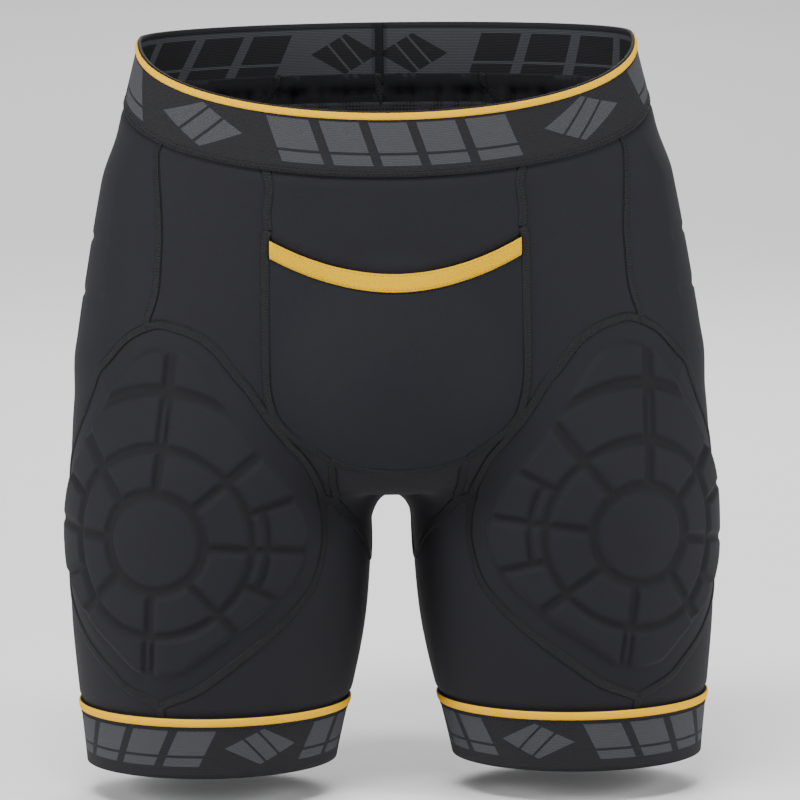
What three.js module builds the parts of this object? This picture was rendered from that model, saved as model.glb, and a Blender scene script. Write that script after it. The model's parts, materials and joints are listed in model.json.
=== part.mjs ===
// Padded impact shorts, shown in their worn shape: stretch fabric panels sewn edge to edge,
// a woven elastic waistband and two leg hems, and moulded foam pads held in pockets over the
// thighs, the hips and the tailbone.
//
// Millimetres, +Z up. The origin is the middle of the waist opening, level with its back edge.
// The wearer faces -Y, and their left side is +X. One half is modelled and mirrored.
import * as THREE from 'three';

// ---- Driving sizes ---------------------------------------------------------------------

// The worn shape, as levels down from the back of the waist opening.
const waist = { halfWidth: 147, front: 104, back: 104, frontDip: 38 };
const yoke = { level: -80, halfWidth: 166, front: 106, back: 113 };
const hip = { level: -205, halfWidth: 186, front: 105, back: 130 };
const crotch = { level: -290, halfWidth: 186, front: 96, back: 104 };
const thigh = { level: -345, centre: 100.5, halfWidth: 87, front: 89, back: 91 };
const hem = { level: -435, centre: 105.5, halfWidth: 74.5, front: 75, back: 76 };
const legTop = { level: -250, centre: 99, halfWidth: 88, front: 97, back: 112 };

// The legs part between these two levels.
const parting = { top: -175, bottom: -294, softness: 12 };
// The front bulge that the pouch is shaped over.
const bulge = { y: -74, level: -200, halfWidth: 58, depth: 50, halfHeight: 66, softness: 0.4 };

// Cloth and foam.
const fabric = 1.0; // one panel
const bandThickness = 1.7; // woven elastic
const stripe = { height: 5, thickness: 0.8 }; // coloured yarn edge of the elastic
const bandHeight = 38; // waistband, stripe included
const hemHeight = 37; // leg band, stripe included
const lining = 0.8; // mesh that closes a pad pocket on the inside
const foam = 8; // moulded pad, over its blocks
const web = 2; // moulded pad, in its grooves
const gap = 0.4; // between two pieces that touch
const slack = 1.0; // play of a pad in its pocket
const seam = 2.2; // between the cut edges of two panels, where the seam thread lies

// Fly: an upper panel, and a pouch with a bound top edge that overlaps it.
const fly = { halfWidth: 74, sideLevel: -113, dip: 20, overlap: 15, cornerLevel: -207, bottom: -249 };
const binding = { height: 10.5, thickness: 0.9 };
// Half width of the gusset along its length, from 1 at its point on the seat to 0 at the pouch.
const gussetStations = [
  [1, 4], [0.8, 9], [0.585, 12], [0.39, 18], [0.28, 27], [0.18, 35.5], [0, 40],
];
const gussetBack = -236; // level of its point on the seat

// Thigh pad pocket, drawn round the middle of the pad's disc: +u towards the crotch, +v up.
const pocket = { angle: 63, level: -292, lead: 1.59 }; // lead is mm of leg to a degree
const pocketOutline = [
  [0, 130], [30, 121], [52, 97], [72, 66], [94, 38], [108, 6], [101, -27], [74, -54], [44, -76],
  [18, -94],
];
const padInset = 18; // from the pocket's seam to the pad's edge
const disc = { radius: 26 };
const groove = 5; // width between two foam blocks
const ring = { inner: disc.radius + groove, outer: disc.radius + groove + 23, blocks: 8 };
const thighLoft = 4.5; // how far the pocket stands proud over the pad

// Hip pad, on the side of the hip, and tailbone pad, over the middle of the seat.
const hipPad = { angle: 4, level: -136, halfWidth: 37, halfHeight: 49, loft: 3.7 };
const tailPad = { level: -150, halfWidth: 42, halfHeight: 58 };
const hipLining = { halfWidth: 43, halfHeight: 56 };
const tailLining = { halfWidth: 78, bottom: -232 };

// Where the ends of an elastic meet.
const join = { width: 8, thickness: 1.0, proud: 1.5 };

// How finely the panels are drawn.
const ROUND = 48; // round the waist
const LEG_ROUND = 36; // round a leg

// ---- The worn shape --------------------------------------------------------------------

// A smooth curve through [level, value] stations, lowest level last.
function through(stations) {
  const n = stations.length;
  const slope = stations.map((_, i) => {
    const a = stations[Math.max(0, i - 1)];
    const b = stations[Math.min(n - 1, i + 1)];
    return (b[1] - a[1]) / (b[0] - a[0]);
  });
  return (z) => {
    let i = 0;
    while (i < n - 2 && z < stations[i + 1][0]) i += 1;
    const [z0, v0] = stations[i];
    const [z1, v1] = stations[i + 1];
    const span = z1 - z0;
    const t = Math.min(1, Math.max(0, (z - z0) / span));
    const t2 = t * t;
    const t3 = t2 * t;
    return v0 * (2 * t3 - 3 * t2 + 1) + slope[i] * span * (t3 - 2 * t2 + t)
      + v1 * (3 * t2 - 2 * t3) + slope[i + 1] * span * (t3 - t2);
  };
}

const torsoStations = [{ ...waist, level: 0 }, yoke, hip, crotch];
const legStations = [legTop, thigh, hem];
const torsoWidth = through(torsoStations.map((s) => [s.level, s.halfWidth]));
const torsoFront = through(torsoStations.map((s) => [s.level, s.front]));
const torsoBack = through(torsoStations.map((s) => [s.level, s.back]));
const legCentre = through(legStations.map((s) => [s.level, s.centre]));
const legWidth = through(legStations.map((s) => [s.level, s.halfWidth]));
const legFront = through(legStations.map((s) => [s.level, s.front]));
const legBack = through(legStations.map((s) => [s.level, s.back]));

const smoothstep = (from, to, v) => {
  const t = Math.min(1, Math.max(0, (v - from) / (to - from)));
  return t * t * (3 - 2 * t);
};
const lerp = (a, b, t) => a + (b - a) * t;

// Below 0 inside the worn shape and above 0 outside it.
function shape(x, y, z) {
  const side = Math.hypot(x, parting.softness) - parting.softness * 0.5;
  const torso = Math.hypot(x / torsoWidth(z), y / (y < 0 ? torsoFront(z) : torsoBack(z))) - 1;
  const leg = Math.hypot((side - legCentre(z)) / legWidth(z),
    y / (y < 0 ? legFront(z) : legBack(z))) - 1;
  const body = lerp(torso, leg, smoothstep(parting.top, parting.bottom, z));
  const pouch = Math.hypot(x / bulge.halfWidth, (y - bulge.y) / bulge.depth,
    (z - bulge.level) / bulge.halfHeight) - 1;
  const k = bulge.softness;
  const h = Math.max(k - Math.abs(body - pouch), 0) / k;
  return Math.min(body, pouch) - h * h * k * 0.25;
}

function outward(p) {
  const e = 0.5;
  return new THREE.Vector3(
    shape(p.x + e, p.y, p.z) - shape(p.x - e, p.y, p.z),
    shape(p.x, p.y + e, p.z) - shape(p.x, p.y - e, p.z),
    shape(p.x, p.y, p.z + e) - shape(p.x, p.y, p.z - e),
  ).normalize();
}

// The first point of the surface that a straight line from inside meets.
function meet(from, direction) {
  const reach = 260;
  const pace = 4;
  let inside = 0;
  const at = (d) => from.clone().addScaledVector(direction, d);
  const outside = (d) => {
    const p = at(d);
    return shape(p.x, p.y, p.z) > 0;
  };
  while (inside < reach && !outside(inside + pace)) inside += pace;
  let out = inside + pace;
  for (let i = 0; i < 24; i += 1) {
    const middle = (inside + out) / 2;
    if (outside(middle)) out = middle;
    else inside = middle;
  }
  return at(out);
}

const radians = THREE.MathUtils.degToRad;
const degrees = THREE.MathUtils.radToDeg;
// On the left half, by the angle round the leg's own axis: 0 outwards, 90 to the front.
const aroundLeg = ([angle, z]) => meet(new THREE.Vector3(legCentre(z), 0, z),
  new THREE.Vector3(Math.cos(radians(angle)), -Math.sin(radians(angle)), 0));
// Round the waist: 0 to the left, 90 to the front.
const aroundWaist = (angle, z) => meet(new THREE.Vector3(0, 0, z),
  new THREE.Vector3(Math.cos(radians(angle)), -Math.sin(radians(angle)), 0));
const onFront = (x, z) => meet(new THREE.Vector3(x, 0, z), new THREE.Vector3(0, -1, 0));
const onBack = (x, z) => meet(new THREE.Vector3(x, 0, z), new THREE.Vector3(0, 1, 0));
// Under the crotch: 90 to the front, 0 straight down, -90 to the back.
const below = (x, angle) => meet(new THREE.Vector3(x, 0, parting.top - 20),
  new THREE.Vector3(0, -Math.sin(radians(angle)), -Math.cos(radians(angle))));
// A surface point as [angle, level] round the leg, its angle within half a turn of another.
function legCoordinates(p, near = 60) {
  const angle = degrees(Math.atan2(-p.y, p.x - legCentre(p.z)));
  return [angle + 360 * Math.round((near - angle) / 360), p.z];
}

// The waist's edge is level behind and dips to the front.
function rim(y) {
  const forward = -y / waist.front;
  const turn = 0.1; // rounds the change of slope at the sides
  return -waist.frontDip * (Math.hypot(forward, turn) + forward) / 2;
}
// A point of the waistband: drop below the rim, along the cloth.
function waistPoint(angle, drop) {
  let p = aroundWaist(angle, -drop);
  for (let i = 0; i < 4; i += 1) p = aroundWaist(angle, rim(p.y) - drop);
  return p;
}
const bandBottom = (p) => rim(p.y) - bandHeight - seam;

// ---- Grids of surface points, and solids between two skins ------------------------------

const push = (p, offset) => p.clone().addScaledVector(outward(p), offset);
const skin = (grid, offset) => grid.map((row, i) => row.map((p, j) => push(p,
  typeof offset === 'function' ? offset(i, j, row, grid) : offset)));

// A closed solid between two grids with the same rows and columns. ring joins the last column
// to the first, and pole makes the first row one point.
function solidBetween(outer, inner, { ring: closed = false, pole = false } = {}) {
  const rows = outer.length;
  const columns = outer[0].length;
  const positions = [];
  const number = [outer, inner].map((grid) => grid.map((row, i) => row.map((p, j) => {
    if (pole && i === 0 && j > 0) return -1;
    positions.push(p.x, p.y, p.z);
    return positions.length / 3 - 1;
  })));
  if (pole) number.forEach((grid) => grid[0].fill(grid[0][0]));
  const index = [];
  const quad = (a, b, c, d) => {
    if (a !== b && b !== c && a !== c) index.push(a, b, c);
    if (a !== c && c !== d && a !== d) index.push(a, c, d);
  };
  const [o, n] = number;
  const wide = closed ? columns : columns - 1;
  for (let i = 0; i < rows - 1; i += 1) {
    for (let j = 0; j < wide; j += 1) {
      const k = (j + 1) % columns;
      quad(o[i][j], o[i][k], o[i + 1][k], o[i + 1][j]);
      quad(n[i][j], n[i + 1][j], n[i + 1][k], n[i][k]);
    }
    if (!closed) {
      quad(o[i][0], o[i + 1][0], n[i + 1][0], n[i][0]);
      quad(o[i][columns - 1], n[i][columns - 1], n[i + 1][columns - 1], o[i + 1][columns - 1]);
    }
  }
  for (let j = 0; j < wide; j += 1) {
    const k = (j + 1) % columns;
    if (!pole) quad(o[0][j], n[0][j], n[0][k], o[0][k]);
    quad(o[rows - 1][j], o[rows - 1][k], n[rows - 1][k], n[rows - 1][j]);
  }
  const geometry = new THREE.BufferGeometry();
  geometry.setAttribute('position', new THREE.Float32BufferAttribute(positions, 3));
  geometry.setIndex(volume(positions, index) < 0 ? turned(index) : index);
  geometry.computeVertexNormals();
  return geometry;
}

function volume(positions, index) {
  const corner = (i) => new THREE.Vector3().fromArray(positions, index[i] * 3);
  let sum = 0;
  for (let i = 0; i < index.length; i += 3) {
    sum += corner(i).dot(corner(i + 1).cross(corner(i + 2)));
  }
  return sum;
}

const turned = (index) => index.map((_, i) => index[i - (i % 3) + (2 - (i % 3))]);

// The same piece for the other side of the body.
function mirrored(geometry) {
  const copy = geometry.clone();
  copy.scale(-1, 1, 1);
  copy.setIndex(turned(Array.from(copy.index.array)));
  copy.computeVertexNormals();
  return copy;
}

// A curve through [angle, level] corners, read from 0 to 1 by its length.
function line(points) {
  const curve = new THREE.CatmullRomCurve3(
    points.map(([a, z]) => new THREE.Vector3(a * pocket.lead, z, 0)), false, 'centripetal');
  return (t) => {
    const p = curve.getPointAt(Math.min(1, Math.max(0, t)));
    return [p.x / pocket.lead, p.y];
  };
}

// A grid that fills four sides, each a function from 0 to 1, kept back from them by the seam.
function filled(left, right, top, bottom, rows, columns, place, keepBack) {
  const blend = (a, b, t) => a.map((v, k) => lerp(v, b[k], t));
  const edge = (n, length) => Array.from({ length: n + 1 },
    (_, i) => lerp(keepBack / length, 1 - keepBack / length, i / n));
  const long = (f) => {
    let sum = 0;
    for (let i = 0; i < 16; i += 1) {
      const [a, b] = [f(i / 16), f((i + 1) / 16)];
      sum += Math.hypot((b[0] - a[0]) * pocket.lead, b[1] - a[1]);
    }
    return sum;
  };
  const down = (long(left) + long(right)) / 2;
  const across = (long(top) + long(bottom)) / 2;
  return edge(rows, down).map((s) => edge(columns, across).map((t) => {
    const ruled = blend(left(s), right(s), t);
    const raised = blend(top(t), bottom(t), s);
    const corners = blend(blend(left(0), right(0), t), blend(left(1), right(1), t), s);
    return place(ruled.map((v, k) => v + raised[k] - corners[k]));
  }));
}

// ---- Seam lines, as [angle, level] round the left leg -----------------------------------

const hemTop = hem.level + hemHeight;
const inPocket = (u, v) => [pocket.angle + u / pocket.lead, pocket.level + v];
const pocketLoop = new THREE.CatmullRomCurve3(
  [...pocketOutline, ...pocketOutline.slice(1).reverse().map(([u, v]) => [-u, v])]
    .map(([u, v]) => new THREE.Vector3(u, v, 0)), true, 'centripetal');
// The pocket's seam as a radius at an angle round the disc.
function pocketRadius(angle) {
  const samples = 360;
  const c = Math.cos(angle);
  const s = Math.sin(angle);
  let best = 0;
  for (let i = 0; i < samples; i += 1) {
    const a = pocketLoop.getPoint(i / samples);
    const b = pocketLoop.getPoint((i + 1) / samples);
    const ca = c * a.y - s * a.x;
    const cb = c * b.y - s * b.x;
    if (ca * cb <= 0 && ca !== cb) {
      const t = ca / (ca - cb);
      best = Math.max(best, c * lerp(a.x, b.x, t) + s * lerp(a.y, b.y, t));
    }
  }
  return best;
}
// Part of the pocket's seam, between two angles round the disc, in degrees.
const pocketEdge = (from, to, n = 9) => Array.from({ length: n + 1 }, (_, i) => {
  const a = radians(lerp(from, to, i / n));
  const r = pocketRadius(a);
  return inPocket(r * Math.cos(a), r * Math.sin(a));
});

const neckAngle = 14; // where the front panel ends, at the groin
const hipJoinAngle = 98; // where the hip seam meets the pocket
const sideAngle = 180; // where the hip panel, back leg and pocket meet
const innerSeam = 214; // seam down the inside of the leg
const toBack = -100; // an angle behind the leg
const backSeam = { top: -52, bottom: -32 }; // between hip and seat panels
const waistAngles = { fly: degrees(Math.atan2(waist.front, fly.halfWidth + 6)), hip: 22, back: -58 };

const atFront = (x, z) => legCoordinates(onFront(x, z));
const bandEdge = (angle) => waistPoint(angle, bandHeight + seam);
const bandLine = (from, to, near) => (t) => legCoordinates(bandEdge(lerp(from, to, t)), near);
const flyTop = legCoordinates(bandEdge(waistAngles.fly));
// The fly's side seam leans in a little from the band to the pouch.
const flySide = (z) => lerp(fly.halfWidth + 2, fly.halfWidth,
  Math.min(1, Math.max(0, (z - flyTop[1]) / (fly.cornerLevel - flyTop[1]))));
const flyEdge = [flyTop, ...[0.25, 0.5, 0.75, 1].map((t) => lerp(flyTop[1], fly.cornerLevel, t))
  .map((z) => atFront(flySide(z), z))];
// The pouch's lower edge: half an oval between its two corners.
const pouchLevel = (x) => lerp(fly.cornerLevel, fly.bottom,
  Math.sqrt(Math.max(0, 1 - (x / fly.halfWidth) ** 2)));
const gussetWidth = through(gussetStations);
const gussetStart = gussetWidth(0);
const groinShares = [1, 0.946, 0.838, 0.703]; // of the fly's half width, towards the gusset
const groin = [...groinShares.map((share) => share * fly.halfWidth), gussetStart]
  .map((x) => atFront(x, pouchLevel(x)));
const neck = pocketEdge(neckAngle, neckAngle, 1)[0];
const junction = pocketEdge(hipJoinAngle, hipJoinAngle, 1)[0];
const side = pocketEdge(sideAngle, sideAngle, 1)[0];
const tip = [pocket.angle, hemTop + seam];

// Gusset: wide at the pouch, narrow under the crotch, and a point on the seat.
const underPoint = parting.top - 20;
const angleBelow = (p) => degrees(Math.atan2(-p.y, underPoint - p.z));
const gussetEnd = angleBelow(onBack(0, gussetBack));
function gussetPoint(across, t, from = 0) {
  const x = across * gussetStart;
  const start = angleBelow(onFront(x, pouchLevel(x) - from));
  return below(across * gussetWidth(t), lerp(start, gussetEnd, t));
}
const gussetSide = (t, near) => legCoordinates(gussetPoint(1, t), near);
const groinTurn = 0.18; // where the groin seam meets the gusset, as a share of its length
const gussetTurn = 0.76; // where the inner leg seam leaves it
const innerStart = gussetSide(gussetTurn);

const hipSeam = [legCoordinates(bandEdge(waistAngles.hip)),
  ...[[138, -80], [137, -108], [139, -134], [141, -154]].map(([x, z]) => atFront(x, z)), junction];
const hipEdge = line([...hipSeam, ...pocketEdge(hipJoinAngle, sideAngle, 10).slice(1)]);
const frontEdge = line([...hipSeam, ...pocketEdge(hipJoinAngle, neckAngle, 14).slice(1)]);
const gussetEdge = (from, to, n = 4) => Array.from({ length: n + 1 },
  (_, i) => gussetSide(lerp(from, to, i / n)));
const flySeam = line([...flyEdge, ...groin.slice(1), ...gussetEdge(0, groinTurn, 9).slice(1)]);
const groinSeam = [neck, gussetSide(groinTurn)];
const innerTop = line([neck, ...gussetEdge(groinTurn, 0.42),
  ...gussetEdge(0.42, gussetTurn).slice(1)]);
const backCorner = [backSeam.bottom, side[1]];
const seatFold = [[-62, side[1] - 3], [-90, crotch.level + 2], [-122, crotch.level + 14]];
const seatSide = line([legCoordinates(bandEdge(waistAngles.back), toBack), [-72, -95],
  [backSeam.top, -160], [-38, -225], backCorner]);

// ---- Pieces -----------------------------------------------------------------------------

const looks = {
  panel: { color: 0x1a1b21, roughness: 0.72 },
  warmPanel: { color: 0x201e21, roughness: 0.72 },
  elastic: { color: 0x1c1d20, roughness: 0.8 },
  yellow: { color: 0xf0b429, roughness: 0.65 },
  foam: { color: 0x15161a, roughness: 0.95 },
  mesh: { color: 0x101114, roughness: 0.9 },
};
const shorts = new THREE.Group();
function add(name, geometry, look) {
  const mesh = new THREE.Mesh(geometry,
    new THREE.MeshStandardMaterial({ ...looks[look], metalness: 0 }));
  mesh.name = name;
  shorts.add(mesh);
}
function addPair(name, geometry, look) {
  add(`${name}_left`, geometry, look);
  add(`${name}_right`, mirrored(geometry), look);
}
const panel = (grid, loft = 0) => solidBetween(skin(grid, loft), skin(grid,
  typeof loft === 'function' ? (...at) => loft(...at) - fabric : loft - fabric));

// Waistband, its yarn stripe and the join at the back.
function waistBand() {
  const angles = Array.from({ length: ROUND }, (_, j) => j * 360 / ROUND);
  const rows = (drops) => drops.map((drop) => angles.map((a) => waistPoint(a, drop)));
  const band = rows([0, bandHeight / 2, bandHeight]);
  add('waistband_elastic', solidBetween(skin(band, 0), skin(band, -bandThickness),
    { ring: true }), 'elastic');
  const edge = rows([0, stripe.height]);
  add('waistband_edge_stripe', solidBetween(skin(edge, gap + stripe.thickness),
    skin(edge, gap), { ring: true }), 'yellow');
  const half = degrees(join.width / 2 / waist.back);
  const tab = [-join.proud, bandHeight / 2, bandHeight].map((drop) => [-half, 0, half]
    .map((a) => waistPoint(a - 90, drop)));
  const inner = bandThickness + 2 * gap;
  add('waistband_back_join', solidBetween(skin(tab, -inner), skin(tab, -inner - join.thickness)),
    'elastic');
}

// Leg hems: the same elastic, stripe uppermost, and the join on the inside of the leg.
function hems() {
  const angles = Array.from({ length: LEG_ROUND }, (_, j) => j * 360 / LEG_ROUND);
  const rows = (levels) => levels.map((z) => angles.map((a) => aroundLeg([a, z])));
  const flat = (grid, offset) => skin(grid, offset).map((row, i) => row.map((p, j) => p.setZ(
    grid[i][j].z)));
  const band = rows([hemTop, (hemTop + hem.level) / 2, hem.level]);
  addPair('hem_elastic', solidBetween(flat(band, 0), flat(band, -bandThickness),
    { ring: true }), 'elastic');
  const edge = rows([hemTop, hemTop - stripe.height]);
  addPair('hem_edge_stripe', solidBetween(flat(edge, gap + stripe.thickness), flat(edge, gap),
    { ring: true }), 'yellow');
  const half = degrees(join.width / 2 / hem.halfWidth);
  const tab = [hemTop, (hemTop + hem.level) / 2, hem.level + gap].map((z) => [-half, 0, half]
    .map((a) => aroundLeg([innerSeam + a, z])));
  const inner = bandThickness + 2 * gap;
  addPair('hem_join', solidBetween(flat(tab, -inner), flat(tab, -inner - join.thickness)),
    'elastic');
}

// Fly: the upper panel runs down behind the pouch, whose top edge is bound in yellow.
function flyPieces() {
  const count = 10;
  const across = Array.from({ length: count + 1 }, (_, j) => Math.cos(j * Math.PI / count));
  const at = (u, z) => onFront(u * (flySide(z) - seam / 2), z);
  // The bound edge, lowest in the middle, and where the panels end.
  const mouth = (u) => fly.sideLevel - fly.dip * (1 - u * u);
  const foot = (u) => pouchLevel(u * fly.halfWidth) + seam;
  function head(u) {
    let p = at(u, rim(-waist.front) - bandHeight);
    for (let i = 0; i < 4; i += 1) p = at(u, bandBottom(p));
    return p.z;
  }
  const grid = (levels) => levels.map((level) => across.map((u) => at(u, level(u))));
  const share = (from, to, t) => (u) => lerp(from(u), to(u), t);
  const drop = (d) => (u) => mouth(u) - d;
  const bound = [0, binding.height / 2, binding.height].map(drop);
  const overlap = drop(fly.overlap);
  const under = -2 * gap - fabric;
  const upper = grid([...[0, 0.33, 0.67].map((t) => share(head, mouth, t)), ...bound, overlap]);
  add('fly_panel', solidBetween(skin(upper, under), skin(upper, under - fabric)), 'warmPanel');
  const lower = grid([...bound, overlap,
    ...[0.16, 0.32, 0.48, 0.64, 0.8, 0.92, 1].map((t) => share(overlap, foot, t))]);
  add('fly_pouch', panel(lower), 'panel');
  const edge = grid(bound);
  add('fly_binding', solidBetween(skin(edge, gap + binding.thickness), skin(edge, gap)),
    'yellow');
}

// Front panel: from the waistband to the groin, between the fly and the hip and pocket seams.
function frontPanels() {
  const grid = filled(frontEdge, flySeam,
    bandLine(waistAngles.hip, waistAngles.fly), line(groinSeam), 24, 6, aroundLeg, seam / 2);
  addPair('front_panel', panel(grid), 'warmPanel');
}

// Hip panel: the outside of the hip, raised over the hip pad.
function hipPanels() {
  const grid = filled(hipEdge, seatSide, bandLine(waistAngles.hip, waistAngles.back),
    line([side, backCorner]), 20, 11, aroundLeg, seam / 2);
  const loft = (i, j, row) => {
    const [angle, z] = legCoordinates(row[j]);
    const u = (angle - hipPad.angle) * pocket.lead / hipPad.halfWidth;
    const v = (z - hipPad.level) / hipPad.halfHeight;
    return hipPad.loft * (1 - smoothstep(1.25, 1.8, Math.max(Math.abs(u), Math.abs(v))));
  };
  addPair('hip_panel', panel(grid, loft), 'panel');
}

// Seat panel: half of the seat, from the side seam to the seam down the middle of the back.
function seatPanels() {
  const middle = (z) => legCoordinates(onBack(0, z), toBack);
  const centre = line([legCoordinates(bandEdge(-90), toBack), middle(-90), middle(-140),
    middle(-190), middle(gussetBack + 4), gussetSide(0.94, toBack), gussetSide(0.85, toBack),
    gussetSide(gussetTurn, toBack)]);
  const foot = line([backCorner, ...seatFold, gussetSide(gussetTurn, toBack)]);
  const grid = filled(seatSide, centre, bandLine(waistAngles.back, -90, toBack), foot, 14, 10,
    aroundLeg, seam / 2);
  addPair('seat_panel', panel(grid), 'panel');
}

// Gusset: the strip under the crotch, from the pouch to the seat.
function crotchGusset() {
  const rows = 14;
  const grid = Array.from({ length: rows + 1 }, (_, i) => {
    const t = lerp(0, 0.93, i / rows);
    const keep = 1 - seam / gussetWidth(t);
    return [-1, -0.5, 0, 0.5, 1].map((u) => gussetPoint(u * keep, t, seam));
  });
  add('crotch_gusset', panel(grid), 'panel');
}

// Leg panels: the inside of the leg, and the back of it round to the pocket.
function legPanels() {
  const seamLine = (turn) => line([[innerStart[0] + turn, innerStart[1]],
    [innerSeam + turn, thigh.level], [innerSeam + turn, hemTop + seam]]);
  const inner = filled(line([...pocketEdge(neckAngle, -86, 10), tip]), seamLine(0), innerTop,
    line([tip, [innerSeam, hemTop + seam]]), 14, 14, aroundLeg, seam / 2);
  addPair('inner_leg_panel', panel(inner), 'panel');
  const outer = line([...pocketEdge(sideAngle, 266, 8), tip]);
  const back = filled(outer, seamLine(-360),
    line([side, backCorner, ...seatFold, gussetSide(gussetTurn, toBack)]),
    line([tip, [0, hemTop + seam], [-90, hemTop + seam], [innerSeam - 360, hemTop + seam]]),
    8, 12, aroundLeg, seam / 2);
  addPair('back_leg_panel', panel(back), 'panel');
}

// Columns of a round pad: two at each side of a spoke groove and two across each block.
function padColumns() {
  const turn = 2 * Math.PI / ring.blocks;
  return Array.from({ length: ring.blocks }, (_, b) => [
    { angle: b * turn, shift: -groove / 2, low: true },
    { angle: b * turn, shift: groove / 2, low: true },
    { angle: (b + 1 / 3) * turn, shift: 0, low: false },
    { angle: (b + 2 / 3) * turn, shift: 0, low: false },
  ]).flat();
}

// Thigh pocket: cover, moulded pad with a loose disc in its middle, and mesh lining. All four
// are drawn on the same spokes, so that they lie parallel.
function thighPocket() {
  const columns = padColumns();
  const grid = (radii) => radii.map((radius) => columns.map(({ angle, shift }) => {
    const r = radius(angle);
    const a = angle + (r > disc.radius ? shift / r : shift / disc.radius);
    return aroundLeg(inPocket(r * Math.cos(a), r * Math.sin(a)));
  }));
  const fixed = (r) => () => r;
  const seamRadius = (a) => pocketRadius(a) - 1.3 * seam;
  const padEdge = (a) => pocketRadius(a) - padInset;
  const outerStart = ring.outer + groove;
  const between = (t) => (a) => lerp(outerStart, padEdge(a), t);
  const beyond = (t) => (a) => lerp(padEdge(a), seamRadius(a), t);

  const cover = grid([fixed(0), fixed(disc.radius), fixed(ring.inner), fixed(ring.outer),
    ...[0, 1 / 3, 2 / 3, 1].map(between), beyond(0.5), beyond(1)]);
  const coverLoft = [...Array(8).fill(thighLoft), thighLoft * 0.45, 0];
  addPair('thigh_cover', solidBetween(skin(cover, (i) => coverLoft[i]),
    skin(cover, (i) => coverLoft[i] - fabric), { pole: true, ring: true }), 'panel');

  const top = thighLoft - fabric - slack;
  const bottom = top - foam;
  const discGrid = grid([fixed(0), fixed(disc.radius - 2), fixed(disc.radius)]);
  addPair('thigh_pad_disc', solidBetween(skin(discGrid, (i) => (i === 2 ? top - 2 : top)),
    skin(discGrid, bottom), { pole: true, ring: true }), 'foam');

  // Blocks stand between round and spoke grooves, joined by the web.
  const slope = 2;
  const rows = [
    [fixed(disc.radius + slack), web], [fixed(ring.inner), web],
    [fixed(ring.inner + slope), foam], [fixed(ring.outer - slope), foam],
    [fixed(ring.outer), web], [between(0), web],
    [(a) => between(0)(a) + slope, foam], [between(1 / 3), foam], [between(2 / 3), foam],
    [(a) => padEdge(a) - slope, foam], [padEdge, foam * 0.6],
  ];
  const pad = grid(rows.map(([radius]) => radius));
  addPair('thigh_pad', solidBetween(
    skin(pad, (i, j) => bottom + (columns[j].low ? web : rows[i][1])), skin(pad, bottom),
    { ring: true }), 'foam');

  const lined = grid([fixed(0), fixed(ring.inner), between(0), between(2 / 3), padEdge,
    beyond(0.85)]);
  const inside = bottom - slack;
  const liningDrop = [...Array(5).fill(inside), -fabric - slack];
  addPair('thigh_pad_lining', solidBetween(skin(lined, (i) => liningDrop[i]),
    skin(lined, (i) => liningDrop[i] - lining), { pole: true, ring: true }), 'mesh');
}

// A pad of blocks in rows and columns with rounded outer corners.
function blockPad(place, size, top, rows, columns) {
  const cuts = (n, half) => {
    const block = 2 / n;
    const lip = groove / 2 / half;
    return Array.from({ length: n }, (_, b) => {
      const from = -1 + b * block;
      const to = from + block;
      return [
        ...(b === 0 ? [[from, 1]] : [[from + lip * 0.2, 0], [from + lip, 1]]),
        [(from + to) / 2, 1],
        ...(b === n - 1 ? [[to, 1]] : [[to - lip, 1], [to - lip * 0.2, 0]]),
      ];
    }).flat();
  };
  const power = 4; // the outline is a superellipse, between an oval and a rectangle
  const us = cuts(columns, size.halfWidth);
  const vs = cuts(rows, size.halfHeight);
  const grid = vs.map(([v]) => us.map(([u]) => {
    const k = 1 / Math.max(1, (Math.abs(u) ** power + Math.abs(v) ** power) ** (1 / power));
    return place(u * k * size.halfWidth, v * k * size.halfHeight);
  }));
  const rise = (i, j) => top - foam + (vs[i][1] && us[j][1] ? foam : web);
  return solidBetween(skin(grid, rise), skin(grid, top - foam));
}

// The mesh behind a pad, sewn down round its edge.
function backing(place, spanU, spanV, inside, edge) {
  const grid = spanV.map((v) => spanU.map((u) => place(u, v)));
  const last = [spanV.length - 1, spanU.length - 1];
  const drop = (i, j) => (i === 0 || j === 0 || i === last[0] || j === last[1] ? edge : inside);
  return solidBetween(skin(grid, drop), skin(grid, (i, j) => drop(i, j) - lining));
}

function hipPads() {
  const place = (u, v) => aroundLeg([hipPad.angle + u / pocket.lead, hipPad.level + v]);
  const top = hipPad.loft - fabric - slack - gap;
  addPair('hip_pad', blockPad(place, hipPad, top, 3, 2), 'foam');
  const span = (half, full) => [-full, -half, -half * 2 / 3, -half / 3, 0, half / 3,
    half * 2 / 3, half, full];
  addPair('hip_pad_lining', backing(place, span(hipPad.halfWidth + 1, hipLining.halfWidth),
    span(hipPad.halfHeight + 1, hipLining.halfHeight), top - foam - slack, -fabric - slack),
  'mesh');
}

function tailPads() {
  const place = (u, v) => onBack(u, tailPad.level + v);
  const top = -fabric - slack - gap;
  add('tailbone_pad', blockPad(place, tailPad, top, 3, 3), 'foam');
  const wide = tailLining.halfWidth;
  const inner = tailPad.halfWidth + 2;
  const spanU = [-wide, -(wide + inner) / 2, -inner, -inner / 2, 0, inner / 2, inner,
    (wide + inner) / 2, wide];
  const high = -bandHeight - 4 * seam - tailPad.level;
  const low = tailLining.bottom - tailPad.level;
  const spanV = [low, -tailPad.halfHeight - 2, -tailPad.halfHeight / 2, 0,
    tailPad.halfHeight / 2, tailPad.halfHeight - 2, high];
  add('tailbone_lining', backing(place, spanU, spanV, top - foam - slack, -fabric - 2 * slack),
    'mesh');
}

waistBand();
flyPieces();
frontPanels();
hipPanels();
seatPanels();
crotchGusset();
legPanels();
thighPocket();
hipPads();
tailPads();
hems();

export default shorts;
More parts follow.
